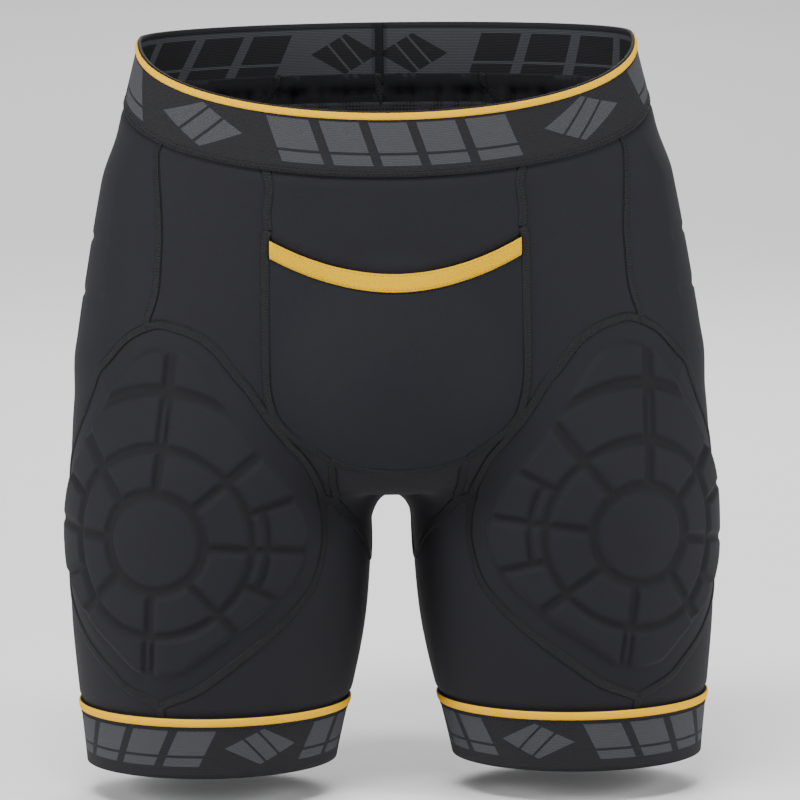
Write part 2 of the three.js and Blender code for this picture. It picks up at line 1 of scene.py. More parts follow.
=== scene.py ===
import json
import math
import bmesh
import bpy
import numpy as np
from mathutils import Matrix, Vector
from mathutils.bvhtree import BVHTree

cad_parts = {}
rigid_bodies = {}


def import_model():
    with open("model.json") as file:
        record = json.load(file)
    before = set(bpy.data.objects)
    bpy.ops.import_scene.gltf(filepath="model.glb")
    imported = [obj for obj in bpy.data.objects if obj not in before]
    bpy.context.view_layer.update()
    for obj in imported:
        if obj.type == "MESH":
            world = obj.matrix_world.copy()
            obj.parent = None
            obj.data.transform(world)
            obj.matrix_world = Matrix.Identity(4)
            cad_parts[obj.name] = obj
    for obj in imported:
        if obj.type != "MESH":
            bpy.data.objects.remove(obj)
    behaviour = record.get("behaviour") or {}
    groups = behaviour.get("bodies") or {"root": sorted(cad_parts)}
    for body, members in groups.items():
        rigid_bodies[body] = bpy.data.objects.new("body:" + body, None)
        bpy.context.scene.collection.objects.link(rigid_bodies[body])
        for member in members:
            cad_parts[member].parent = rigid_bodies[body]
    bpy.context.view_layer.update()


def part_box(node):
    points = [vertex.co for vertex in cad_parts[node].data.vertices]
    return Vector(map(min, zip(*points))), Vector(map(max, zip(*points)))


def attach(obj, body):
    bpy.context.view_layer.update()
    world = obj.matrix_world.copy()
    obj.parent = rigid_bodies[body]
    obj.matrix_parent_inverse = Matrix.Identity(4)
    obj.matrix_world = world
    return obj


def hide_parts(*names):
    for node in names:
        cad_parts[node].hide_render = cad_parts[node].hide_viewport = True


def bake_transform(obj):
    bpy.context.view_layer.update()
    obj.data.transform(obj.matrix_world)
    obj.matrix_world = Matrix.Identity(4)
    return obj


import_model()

# ---- View and studio ------------------------------------------------------------------
# The shorts hang just over a pale floor under soft boxes, as if worn, and are seen from the
# front at about the height of the wearer's chest, a little from their right.
hem_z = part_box("hem_elastic_left")[0][2]

bpy.ops.object.camera_add(location=(-0.147, -3.497, hem_z + 0.664))
camera = bpy.context.object
camera.name = "camera"
aim = Vector((0.0058, 0.0, hem_z + 0.2145)) - camera.location
camera.rotation_euler = aim.to_track_quat("-Z", "Y").to_euler()
camera.rotation_euler.rotate_axis("Z", math.radians(-0.67))
camera.data.sensor_width = 36
camera.data.lens = 264.5
bpy.context.scene.camera = camera


def select_only(*pieces):
    """Selects these pieces and nothing else, with the first as the active one."""
    bpy.ops.object.select_all(action="DESELECT")
    for piece in pieces:
        piece.select_set(True)
    if pieces:
        bpy.context.view_layer.objects.active = pieces[0]


def fill(tree, node, inputs):
    """Sets a shader node's inputs, each to a value or to another node's output."""
    for name, value in inputs.items():
        if isinstance(value, bpy.types.NodeSocket):
            tree.links.new(value, node.inputs[name])
        else:
            node.inputs[name].default_value = value
    return node


def new_material(name, roughness, specular=0.5, colour=(0.5, 0.5, 0.5)):
    """A material with this gloss and colour, and its node tree."""
    material = bpy.data.materials.new(name)
    material.use_nodes = True
    shader = material.node_tree.nodes["Principled BSDF"]
    fill(material.node_tree, shader, {"Roughness": roughness, "Base Color": (*colour, 1),
                                      "Specular IOR Level": specular})
    return material, material.node_tree


FLOOR_DROP = 0.02
select_only()
bpy.ops.mesh.primitive_plane_add(size=30, location=(0, 6, hem_z - FLOOR_DROP))
floor = bpy.context.object
floor.name = "floor"
floor.data.materials.append(new_material("floor_paint", 0.7, colour=(0.80, 0.80, 0.81))[0])

world = bpy.data.worlds.new("studio")
world.use_nodes = True
fill(world.node_tree, world.node_tree.nodes["Background"], {"Color": (1, 1, 1, 1),
                                                            "Strength": 0.15})
bpy.context.scene.world = world


def soft_box(name, place, size, watts, lit=(0, 0, hem_z + 0.22)):
    light = bpy.data.lights.new(name, "AREA")
    light.shape = "RECTANGLE"
    light.size, light.size_y = size
    light.energy = watts
    lamp = bpy.data.objects.new(name, light)
    bpy.context.collection.objects.link(lamp)
    lamp.location = place
    toward = Vector(lit) - lamp.location
    lamp.rotation_euler = toward.to_track_quat("-Z", "Y").to_euler()


soft_box("key_light", (-0.3, -1.3, 2.1), (1.2, 0.8), 71)
soft_box("left_light", (2.1, -1.2, 0.5), (0.6, 1.4), 52)
soft_box("right_light", (-2.1, -1.1, 0.5), (0.6, 1.4), 56)
soft_box("back_light", (0.4, 2.0, 1.4), (1.4, 1.0), 34)
soft_box("floor_light", (0, 6.0, 2.2), (4, 9), 230, lit=(0, 6.001, hem_z))

# ---- Waistband elastic ----------------------------------------------------------------
# A wide woven elastic with a knitted-in two-tone pattern, dark outside with grey figures and
# the reverse inside. It follows the waist, which dips to the front, and its ends meet behind.
WAIST = {"level": 0, "wide": 0.147, "front": 0.104, "back": 0.104}
TORSO = [WAIST,
         {"level": -0.080, "wide": 0.166, "front": 0.106, "back": 0.113},
         {"level": -0.205, "wide": 0.186, "front": 0.105, "back": 0.130},
         {"level": -0.290, "wide": 0.186, "front": 0.096, "back": 0.104}]
LEG = [{"level": -0.250, "centre": 0.099, "wide": 0.088, "front": 0.097, "back": 0.112},
       {"level": -0.345, "centre": 0.1005, "wide": 0.087, "front": 0.089, "back": 0.091},
       {"level": hem_z, "centre": 0.1055, "wide": 0.0745, "front": 0.075, "back": 0.076}]


def through(stations, key):
    """A smooth curve through the stations' values, by level from the highest down."""
    z = np.array([s["level"] for s in stations], float)
    v = np.array([s[key] for s in stations], float)
    before = np.maximum(np.arange(len(z)) - 1, 0)
    after = np.minimum(np.arange(len(z)) + 1, len(z) - 1)
    slope = (v[after] - v[before]) / (z[after] - z[before])

    def value(at):
        i = np.clip(np.searchsorted(-z, -at, side="right") - 1, 0, len(z) - 2)
        span = z[i + 1] - z[i]
        t = np.clip((at - z[i]) / span, 0, 1)
        return (v[i] * (2 * t**3 - 3 * t**2 + 1) + slope[i] * span * (t**3 - 2 * t**2 + t)
                + v[i + 1] * (3 * t**2 - 2 * t**3) + slope[i + 1] * span * (t**3 - t**2))
    return value


torso = {key: through(TORSO, key) for key in ("wide", "front", "back")}
leg = {key: through(LEG, key) for key in ("centre", "wide", "front", "back")}


def smoothstep(a, b, v):
    t = np.clip((v - a) / (b - a), 0, 1)
    return t * t * (3 - 2 * t)


LEGS_PART, LEGS_APART = -0.175, -0.294
CROTCH_ROUND = 0.012
BULGE = {"level": -0.200, "ahead": 0.074, "wide": 0.058, "deep": 0.050, "high": 0.066}
BULGE_BLEND = 0.4


def body_shape(p):
    """Below 0 inside the worn shape and above 0 outside it, at points p."""
    x, y, z = p[..., 0], p[..., 1], p[..., 2]
    side = np.hypot(x, CROTCH_ROUND) - CROTCH_ROUND / 2
    ahead = y < 0
    trunk = np.hypot(x / torso["wide"](z),
                     y / np.where(ahead, torso["front"](z), torso["back"](z))) - 1
    limb = np.hypot((side - leg["centre"](z)) / leg["wide"](z),
                    y / np.where(ahead, leg["front"](z), leg["back"](z))) - 1
    body = trunk + (limb - trunk) * smoothstep(LEGS_PART, LEGS_APART, z)
    bulge = np.sqrt((x / BULGE["wide"]) ** 2 + ((y + BULGE["ahead"]) / BULGE["deep"]) ** 2
                    + ((z - BULGE["level"]) / BULGE["high"]) ** 2) - 1
    near = np.maximum(BULGE_BLEND - np.abs(body - bulge), 0) / BULGE_BLEND
    return np.minimum(body, bulge) - near * near * BULGE_BLEND * 0.25


def slope_of(p):
    e = 0.0005
    steps = np.eye(3) * e
    return np.stack([body_shape(p + s) - body_shape(p - s) for s in steps], -1) / (2 * e)


def outward(p):
    g = slope_of(p)
    return g / np.linalg.norm(g, axis=-1, keepdims=True)


def meet(start, direction):
    """Where straight lines from inside the body first leave it."""
    start, direction = np.broadcast_arrays(start, direction)
    pace = 0.004
    inside = np.zeros(start.shape[:-1])
    going = np.ones(start.shape[:-1], bool)
    for _ in range(65):
        ahead = start + direction * (inside + pace)[..., None]
        going &= body_shape(ahead) <= 0
        inside = np.where(going, inside + pace, inside)
    low, high = inside, inside + pace
    for _ in range(18):
        middle = (low + high) / 2
        out = body_shape(start + direction * middle[..., None]) > 0
        low, high = np.where(out, low, middle), np.where(out, middle, high)
    return start + direction * high[..., None]


def round_waist(angle, z):
    """A point of the body by the angle round its middle: 0 to the left, 90 to the front."""
    angle, z = np.broadcast_arrays(np.radians(angle), z)
    start = np.stack([0 * z, 0 * z, z], -1)
    return meet(start, np.stack([np.cos(angle), -np.sin(angle), 0 * z], -1))


def round_leg(angle, z):
    """A point of the left half by the angle round the leg: 0 outwards, 90 to the front."""
    angle, z = np.broadcast_arrays(np.radians(angle), z)
    start = np.stack([leg["centre"](z), 0 * z, z], -1)
    return meet(start, np.stack([np.cos(angle), -np.sin(angle), 0 * z], -1))


WAIST_DIP = 0.038


def rim(y):
    """Level of the waist's edge, which is level behind and dips to the front."""
    forward = -y / WAIST["front"]
    return -WAIST_DIP * (np.hypot(forward, 0.1) + forward) / 2


def waist_point(angle, drop):
    p = round_waist(angle, -drop + 0 * angle)
    for _ in range(4):
        p = round_waist(angle, rim(p[..., 1]) - drop)
    return p


SAME_PLACE = 0.00002


def sheet_grid(name, across, down, place, closed=False):
    """A grid of cloth: place(u, v) gives its points for u and v from 0 to 1."""
    select_only()
    bpy.ops.mesh.primitive_grid_add(x_subdivisions=across, y_subdivisions=down, size=1)
    cloth = bpy.context.object
    cloth.name = cloth.data.name = name
    flat = np.array([v.co for v in cloth.data.vertices])
    points = place(flat[:, 0] + 0.5, 0.5 - flat[:, 1])
    cloth.data.vertices.foreach_set("co", points.ravel())
    if closed:
        bpy.ops.object.mode_set(mode="EDIT")
        bpy.ops.mesh.select_all(action="SELECT")
        bpy.ops.mesh.remove_doubles(threshold=SAME_PLACE)
        bpy.ops.object.mode_set(mode="OBJECT")
    face_outward(cloth)
    bpy.ops.object.shade_smooth()
    return cloth


def face_outward(cloth):
    """Turns an open sheet's faces to look away from the body."""
    bm = bmesh.new()
    bm.from_mesh(cloth.data)
    centres = np.array([f.calc_center_median() for f in bm.faces])
    normals = np.array([f.normal for f in bm.faces])
    flipped = centres.copy()
    flipped[:, 0] = np.abs(flipped[:, 0])
    away = outward(flipped)
    away[:, 0] *= np.where(centres[:, 0] < 0, -1, 1)
    if np.sum(away * normals) < 0:
        bmesh.ops.reverse_faces(bm, faces=bm.faces)
    bm.to_mesh(cloth.data)
    bm.free()


def finish_modifier(piece, kind, **settings):
    """Adds a modifier with these settings and applies it."""
    select_only(piece)
    modifier = piece.modifiers.new(kind.lower(), kind)
    for key, value in settings.items():
        setattr(modifier, key, value)
    bpy.ops.object.modifier_apply(modifier=modifier.name)


def cloth_thickness(piece, thickness, inner_slot=0):
    """Gives a sheet its thickness inwards, with a material of its own on the inner face."""
    finish_modifier(piece, "SOLIDIFY", thickness=thickness, offset=-1,
                    use_even_offset=False, material_offset=inner_slot,
                    material_offset_rim=0)


BAND_HEIGHT = 0.038
BAND_THICKNESS = 0.0017


def band_place(u, v):
    return waist_point(u * 360 - 90, v * BAND_HEIGHT)


waistband = sheet_grid("waistband", 320, 16, band_place, closed=True)


def add(tree, kind, inputs=None, **settings):
    """Adds a shader node with these settings and inputs."""
    node = tree.nodes.new("ShaderNode" + kind)
    for name, value in settings.items():
        setattr(node, name, value)
    return fill(tree, node, inputs or {})


def maths(tree):
    """A short way to do sums in a tree: op(operation, a, b) gives the sum's output."""
    def op(operation, a, b=None, clamp=False):
        inputs = {0: a} if b is None else {0: a, 1: b}
        return add(tree, "Math", inputs, operation=operation, use_clamp=clamp).outputs[0]
    return op


def effect_group(name, inputs, output):
    """An empty node group of float inputs with their values, and one float output."""
    group = bpy.data.node_groups.new(name, "ShaderNodeTree")
    for socket, value in inputs.items():
        group.interface.new_socket(name=socket, in_out="INPUT",
                                   socket_type="NodeSocketFloat").default_value = value
    group.interface.new_socket(name=output, in_out="OUTPUT", socket_type="NodeSocketFloat")
    given = group.nodes.new("NodeGroupInput").outputs
    return group, given, group.nodes.new("NodeGroupOutput").inputs[output]


def woven_figures():
    """Node group: the pattern of an elastic, 1 in a figure and 0 in the ground. Run is in mm
    along the elastic and Rise in mm from its middle."""
    group, given, out = effect_group(
        "woven_figures", {"Run": 0.0, "Rise": 0.0, "Period": 250.0, "Half bars": 84.0,
                          "Half height": 12.5, "Border": 99.0}, "Figure")
    op = maths(group)
    run, rise = given["Run"], given["Rise"]
    period, high = given["Period"], given["Half height"]

    def from_nearest(value, spacing):
        """How far a value is from the nearest multiple of the spacing."""
        nearest = op("ROUND", op("DIVIDE", value, spacing))
        return op("SUBTRACT", value, op("MULTIPLY", nearest, spacing))

    # Bars lean to one side, in groups, and each is cut by a thin line near its foot.
    slant, bars_in_half, bar_share, line_width = 0.42, 2.5, 0.40, 0.8
    across = from_nearest(op("SUBTRACT", run, op("MULTIPLY", rise, slant)), period)
    in_group = op("LESS_THAN", op("ABSOLUTE", across), given["Half bars"])
    phase = op("DIVIDE", across, op("DIVIDE", given["Half bars"], bars_in_half))
    bar = op("LESS_THAN", op("ABSOLUTE", from_nearest(phase, 1.0)), bar_share)
    above_line = op("ABSOLUTE", op("ADD", rise, op("MULTIPLY", high, 0.45)))
    notch = op("GREATER_THAN", above_line, line_width)
    in_height = op("LESS_THAN", op("ABSOLUTE", rise), high)
    bars = op("MULTIPLY", op("MULTIPLY", bar, notch), op("MULTIPLY", in_group, in_height))
    # Between two groups stands a lozenge with two slanted cuts.
    cell = from_nearest(op("SUBTRACT", run, op("MULTIPLY", period, 0.5)), period)
    reach = op("MULTIPLY", high, 2.0)
    lozenge = op("LESS_THAN", op("ADD", op("DIVIDE", op("ABSOLUTE", cell), reach),
                                 op("DIVIDE", op("ABSOLUTE", rise), high)), 1.0)
    lean = op("ABSOLUTE", op("DIVIDE", op("ADD", cell, rise), high))
    cuts = op("GREATER_THAN", op("ABSOLUTE", op("SUBTRACT", lean, 0.55)), 0.09)
    figure = op("MAXIMUM", bars, op("MULTIPLY", lozenge, cuts))
    # The inner face has a plain border along its top.
    border = op("GREATER_THAN", rise, given["Border"])
    group.links.new(op("MAXIMUM", figure, border), out)
    return group


def rib_texture():
    """Node group: the ribs and loops of a woven elastic as a height from 0 to 1."""
    group, given, out = effect_group("rib_texture", {"Run": 0.0, "Rise": 0.0}, "Height")
    op = maths(group)
    rib_mm, loop_mm, loop_lean = 0.95, 1.3, 3.3
    ribs = op("SINE", op("MULTIPLY", given["Rise"], 2 * math.pi / rib_mm))
    loops = op("SINE", op("ADD", op("MULTIPLY", given["Run"], 2 * math.pi / loop_mm),
                          op("MULTIPLY", given["Rise"], loop_lean)))
    height = op("ADD", op("MULTIPLY", ribs, 0.32), op("MULTIPLY", loops, 0.18))
    group.links.new(op("ADD", height, 0.5), out)
    return group


FIGURES = woven_figures()
RIBS = rib_texture()


def blended(tree, share, start, end, within=True):
    """A colour between two, by a share that changes over the surface."""
    return add(tree, "Mix", {"A": (*start, 1), "B": (*end, 1), "Factor": share},
               data_type="RGBA", clamp_factor=within).outputs["Result"]


def finish_surface(tree, height, strength, depth, colour=None):
    """Gives the shader its relief, and its colour where that changes over the surface."""
    bump = add(tree, "Bump", {"Strength": strength, "Distance": depth, "Height": height})
    inputs = {"Normal": bump.outputs[0]}
    if colour:
        inputs["Base Color"] = colour
    fill(tree, tree.nodes["Principled BSDF"], inputs)


def strip_map(tree):
    """The UV map of a strip: 0 to 1 along it and across it."""
    place = add(tree, "UVMap", uv_map="UVMap").outputs[0]
    return add(tree, "SeparateXYZ", {0: place}).outputs


def elastic_material(name, run_mm, rise_mm, period, half_bars, half_height, ground, figure,
                     border=99.0):
    """Woven elastic with ribs, figures of another colour, and painted shade in the rib hollows.
    """
    material, tree = new_material(name, 0.82, 0.25)
    op = maths(tree)
    along, across = strip_map(tree)[:2]
    place = {"Run": op("MULTIPLY", op("SUBTRACT", along, 0.5), run_mm),
             "Rise": op("MULTIPLY", op("SUBTRACT", across, 0.5), rise_mm)}
    figures = add(tree, "Group", place | {"Period": period, "Half bars": half_bars,
                                          "Half height": half_height, "Border": border},
                  node_tree=FIGURES)
    ribs = add(tree, "Group", place, node_tree=RIBS).outputs[0]
    # Painted shade: the colour is darkened where the ribs are low.
    shade = add(tree, "Mix", {"Factor": 0.45, "B": ribs,
                              "A": blended(tree, figures.outputs[0], ground, figure)},
                data_type="RGBA", blend_type="MULTIPLY")
    height = op("ADD", ribs, op("MULTIPLY", figures.outputs[0], 0.6))
    finish_surface(tree, height, 0.5, 0.0004, shade.outputs["Result"])
    return material


CHARCOAL = (0.0122, 0.0122, 0.0142)
GREY = (0.052, 0.054, 0.061)
# In mm: round the waist, height, spacing of the groups of bars, half a group, half a figure.
WAIST_WEAVE = (800, 38, 250, 84, 12.5)
waistband.data.materials.append(elastic_material(
    "waistband_weave", *WAIST_WEAVE, CHARCOAL, GREY))
waistband.data.materials.append(elastic_material(
    "waistband_weave_inside", *WAIST_WEAVE, GREY, CHARCOAL, border=15.5))
cloth_thickness(waistband, BAND_THICKNESS, 1)
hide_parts("waistband_elastic")
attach(waistband, "hips")

# ---- Waistband edge and back join -----------------------------------------------------
# A yellow yarn edge woven into the top of the elastic shows outside only. At the back a dark
# strip covers the place where the two ends of the elastic meet.
STRIPE_HEIGHT = 0.005
STRIPE_BELOW_RIM = 0.0009
STRIPE_THICKNESS = 0.0007
JOIN_THICKNESS = 0.001
YELLOW = (0.78, 0.42, 0.006)
JOIN_BLACK = (0.014, 0.014, 0.016)


def pushed(points, distance):
    return points + outward(points) * np.asarray(distance)[..., None]


def stripe_lift(v):
    """How far a stripe stands off the elastic: most along its middle."""
    return 0.0011 - 0.0005 * np.abs(2 * v - 1) ** 3


def join_lift(u):
    """How far inside the elastic's outer face a back strip's outer face lies."""
    return -0.0022 + 0.0004 * (1 - (2 * u - 1) ** 2)


def stripe_place(u, v):
    drop = STRIPE_BELOW_RIM + v * (STRIPE_HEIGHT - STRIPE_BELOW_RIM)
    return pushed(waist_point(u * 360 - 90, drop), stripe_lift(v))


def yarn_material(name, colour, across, along):
    """Ribs of yarn: the UV map counts ribs across the strip and loops along it."""
    material, tree = new_material(name, 0.9, 0.06, colour)
    op = maths(tree)
    u, v = strip_map(tree)[:2]
    ribs = add(tree, "Group", {"Run": op("MULTIPLY", u, along),
                               "Rise": op("MULTIPLY", v, across)}, node_tree=RIBS)
    finish_surface(tree, ribs.outputs[0], 0.6, 0.0004)
    return material


waist_stripe = sheet_grid("waist_stripe", 320, 6, stripe_place, closed=True)
cloth_thickness(waist_stripe, STRIPE_THICKNESS)
waist_stripe.data.materials.append(yarn_material("waist_yarn", YELLOW, 5, 814))
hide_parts("waistband_edge_stripe")
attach(waist_stripe, "hips")


def back_join_place(u, v):
    return pushed(waist_point((u - 0.5) * 2.8 - 90, v * BAND_HEIGHT), join_lift(u))


back_join = sheet_grid("waist_back_join", 8, 24, back_join_place)
cloth_thickness(back_join, JOIN_THICKNESS)
back_join.data.materials.append(yarn_material("back_join_yarn", JOIN_BLACK, 39, 8))
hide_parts("waistband_back_join")
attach(back_join, "hips")

# ---- Leg hems -------------------------------------------------------------------------
# Each leg ends in a narrower band of the same elastic, with the yellow edge on its top. The
# ends of the band meet on the inside of the leg under a dark strip.
HEM_HEIGHT = 0.037
HEM_TOP = hem_z + HEM_HEIGHT
INNER_SEAM = 214
HEM_WEAVE = (465, 37, 190, 66, 11.0)


def leg_strip(name, across, down, sign, place, closed=True):
    def sided(u, v):
        points = place(u, v)
        points[:, 0] *= sign
        return points
    return sheet_grid(name, across, down, sided, closed)


def flat_pushed(points, distance):
    moved = pushed(points, distance)
    moved[:, 2] = points[:, 2]
    return moved


for side, sign in (("left", 1), ("right", -1)):
    def hem_place(u, v):
        turn = INNER_SEAM + u * 360
        return round_leg(turn, HEM_TOP - v * HEM_HEIGHT)

    hem_band = leg_strip(f"hem_band_{side}", 200, 14, sign, hem_place)
    hem_band.data.materials.append(elastic_material(
        f"hem_weave_{side}", *HEM_WEAVE, CHARCOAL, GREY))
    hem_band.data.materials.append(elastic_material(
        f"hem_weave_inside_{side}", *HEM_WEAVE, GREY, CHARCOAL))
    cloth_thickness(hem_band, BAND_THICKNESS, 1)
    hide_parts(f"hem_elastic_{side}")
    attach(hem_band, f"{side}_leg")

    def hem_stripe_place(u, v):
        return flat_pushed(hem_place(u, v * STRIPE_HEIGHT / HEM_HEIGHT), stripe_lift(v))

    hem_stripe = leg_strip(f"hem_stripe_{side}", 200, 6, sign, hem_stripe_place)
    cloth_thickness(hem_stripe, STRIPE_THICKNESS)
    hem_stripe.data.materials.append(yarn_material(f"hem_yarn_{side}", YELLOW, 5, 465))
    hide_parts(f"hem_edge_stripe_{side}")
    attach(hem_stripe, f"{side}_leg")

    def hem_join_place(u, v):
        strip = round_leg(INNER_SEAM + (u - 0.5) * 6.2, HEM_TOP - v * (HEM_HEIGHT - 0.0004))
        return flat_pushed(strip, join_lift(u))

    hem_join = leg_strip(f"hem_join_{side}", 8, 22, sign, hem_join_place, closed=False)
    cloth_thickness(hem_join, JOIN_THICKNESS)
    hem_join.data.materials.append(yarn_material(f"hem_join_yarn_{side}", JOIN_BLACK, 37, 8))
    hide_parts(f"hem_join_{side}")
    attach(hem_join, f"{side}_leg")

# ---- The body of the shorts -----------------------------------------------------------
# Panels of smooth knitted stretch fabric, cut and sewn edge to edge into one worn shape. They
# are drawn as one skin first, then parted where the panels of the real pair meet.
FABRIC = 0.001
TUCK = 0.007


def ball(centre):
    """A ball blown up from a centre until it meets the worn shape."""
    select_only()
    bpy.ops.mesh.primitive_uv_sphere_add(segments=72, ring_count=48, location=(0, 0, 0))
    blob = bpy.context.object
    directions = np.array([v.co for v in blob.data.vertices])
    directions /= np.linalg.norm(directions, axis=1, keepdims=True)
    blob.data.vertices.foreach_set("co", meet(np.array(centre), directions).ravel())
    return blob


blobs = [ball((0, 0, -0.13)), ball((0.105, 0, -0.33)), ball((-0.105, 0, -0.33))]
select_only(*blobs)
bpy.ops.object.join()
skin = bpy.context.object
skin.name = "skin"
finish_modifier(skin, "REMESH", mode="VOXEL", voxel_size=0.0028, adaptivity=0)


def points_of(mesh):
    flat = np.empty(len(mesh.vertices) * 3)
    mesh.vertices.foreach_get("co", flat)
    return flat.reshape(-1, 3)


def set_points(mesh, points):
    mesh.vertices.foreach_set("co", np.ascontiguousarray(points, float).ravel())
    mesh.update()


def onto_body(p, rounds=4):
    for _ in range(rounds):
        slope = slope_of(p)
        step = body_shape(p)[..., None] * slope / (slope**2).sum(-1, keepdims=True)
        far = np.linalg.norm(step, axis=-1, keepdims=True)
        p = p - step * np.minimum(1, 0.004 / np.maximum(far, 1e-9))
    return p


def above_edges(p):
    """Above 0 beyond the fabric's top edge or below its foot edge."""
    return np.maximum(p[..., 2] - (rim(p[..., 1]) - BAND_HEIGHT + TUCK),
                      HEM_TOP - TUCK - p[..., 2])


def trim(piece, beyond):
    """Deletes the vertices for which beyond is true."""
    select_only(piece)
    bpy.ops.object.mode_set(mode="EDIT")
    bpy.ops.mesh.select_all(action="DESELECT")
    bpy.ops.object.mode_set(mode="OBJECT")
    piece.data.vertices.foreach_set("select", beyond)
    bpy.ops.object.mode_set(mode="EDIT")
    bpy.ops.mesh.select_mode(type="VERT")
    bpy.ops.mesh.delete(type="VERT")
    bpy.ops.object.mode_set(mode="OBJECT")


trim(skin, above_edges(points_of(skin.data)) > 0.006)
for _ in range(3):
    finish_modifier(skin, "SMOOTH", factor=0.5, iterations=4)
    set_points(skin.data, onto_body(points_of(skin.data)))
trim(skin, above_edges(points_of(skin.data)) > 0.0014)

# The outermost row goes exactly to the edge.
points = points_of(skin.data)
bm = bmesh.new()
bm.from_mesh(skin.data)
edge_row = np.array([v.is_boundary for v in bm.verts])
bm.free()
for _ in range(5):
    over = above_edges(points)
    move = np.where(edge_row, over, 0)
    points[:, 2] -= np.where(points[:, 2] > -0.2, move, -move)
    points = np.where(edge_row[:, None], onto_body(points, 1), points)
set_points(skin.data, points)
face_outward(skin)

PANELS = ["fly_panel", "fly_pouch", "crotch_gusset"]
for side in ("left", "right"):
    PANELS += [f"{kind}_{side}" for kind in ("front_panel", "hip_panel", "seat_panel",
                                             "thigh_cover", "inner_leg_panel",
                                             "back_leg_panel")]


def solid_of(node):
    """The CAD solid of a node, for measuring distances to it."""
    piece = bpy.data.objects[node]
    matrix = np.array(piece.matrix_world)
    local = points_of(piece.data)
    world = local @ matrix[:3, :3].T + matrix[:3, 3]
    faces = [tuple(f.vertices) for f in piece.data.polygons]
    return BVHTree.FromPolygons([tuple(p) for p in world], faces)


solids = {name: solid_of(name) for name in PANELS}
bm = bmesh.new()
bm.from_mesh(skin.data)
bm.verts.ensure_lookup_table()
bm.faces.ensure_lookup_table()
centres = np.array([f.calc_center_median() for f in bm.faces])
distance = np.empty((len(centres), len(PANELS)))
for k, name in enumerate(PANELS):
    reach = solids[name].find_nearest
    wide = 0.06
    for i, c in enumerate(centres):
        hit = reach(Vector(c), wide)[3]
        distance[i, k] = wide if hit is None else hit
distance[:, PANELS.index("fly_pouch")] -= 0.0025
owner = distance.argmin(1)


MOUTH_CORNERS, MOUTH_DIP, FLY_HALF = -0.113, 0.020, 0.074


def mouth(x):
    """Level of the pouch's bound top edge, lowest in the middle."""
    return MOUTH_CORNERS - MOUTH_DIP * (1 - (x / FLY_HALF) ** 2)


def rounded_outline(corners, steps=8):
    """A closed smooth curve through the corners."""
    c = np.array(corners, float)
    a, b, d, e = np.roll(c, 1, 0), c, np.roll(c, -1, 0), np.roll(c, -2, 0)
    t = (np.arange(steps) / steps)[None, :, None]
    a, b, d, e = (q[:, None, :] for q in (a, b, d, e))
    curve = 0.5 * (2 * b + (d - a) * t + (2 * a - 5 * b + 4 * d - e) * t**2
                   + (3 * b - a - 3 * d + e) * t**3)
    return curve.reshape(-1, 2)


def inset_of(u, v, outline):
    """Distance inside a closed outline, below 0 outside it."""
    best = np.full(u.shape, 1e9)
    inside = np.zeros(u.shape, bool)
    for (x0, y0), (x1, y1) in zip(outline, np.roll(outline, -1, 0)):
        dx, dy = x1 - x0, y1 - y0
        t = np.clip(((u - x0) * dx + (v - y0) * dy) / (dx * dx + dy * dy), 0, 1)
        best = np.minimum(best, np.hypot(u - x0 - t * dx, v - y0 - t * dy))
        crosses = (y0 > v) != (y1 > v)
        inside ^= crosses & (u < dx * (v - y0) / np.where(dy == 0, 1e-9, dy) + x0)
    return np.where(inside, best, -best)


HALF_POCKET = [(30, 121), (52, 97), (72, 66), (94, 38), (108, 6), (101, -27), (74, -54),
               (44, -76), (18, -94)]
POCKET = rounded_outline([(0, 130)] + HALF_POCKET + [(-u, v) for u, v in HALF_POCKET[::-1]])
DISC_ANGLE, DISC_LEVEL = 63, -0.292
MM_A_DEGREE = 1.59


def leg_angle(p):
    """Angle round the leg of a point, in degrees: 0 outwards, 90 to the front."""
    return np.degrees(np.arctan2(-p[..., 1], np.abs(p[..., 0]) - leg["centre"](p[..., 2])))


def pocket_place(p):
    """Place on the thigh pocket, in mm from the middle of the pad's disc."""
    turned = (leg_angle(p) - DISC_ANGLE + 180) % 360 - 180
    return turned * MM_A_DEGREE, (p[..., 2] - DISC_LEVEL) * 1000


def groove_cut(distance, half, soft):
    return 1 - smoothstep(half - soft, half + soft, np.abs(distance))


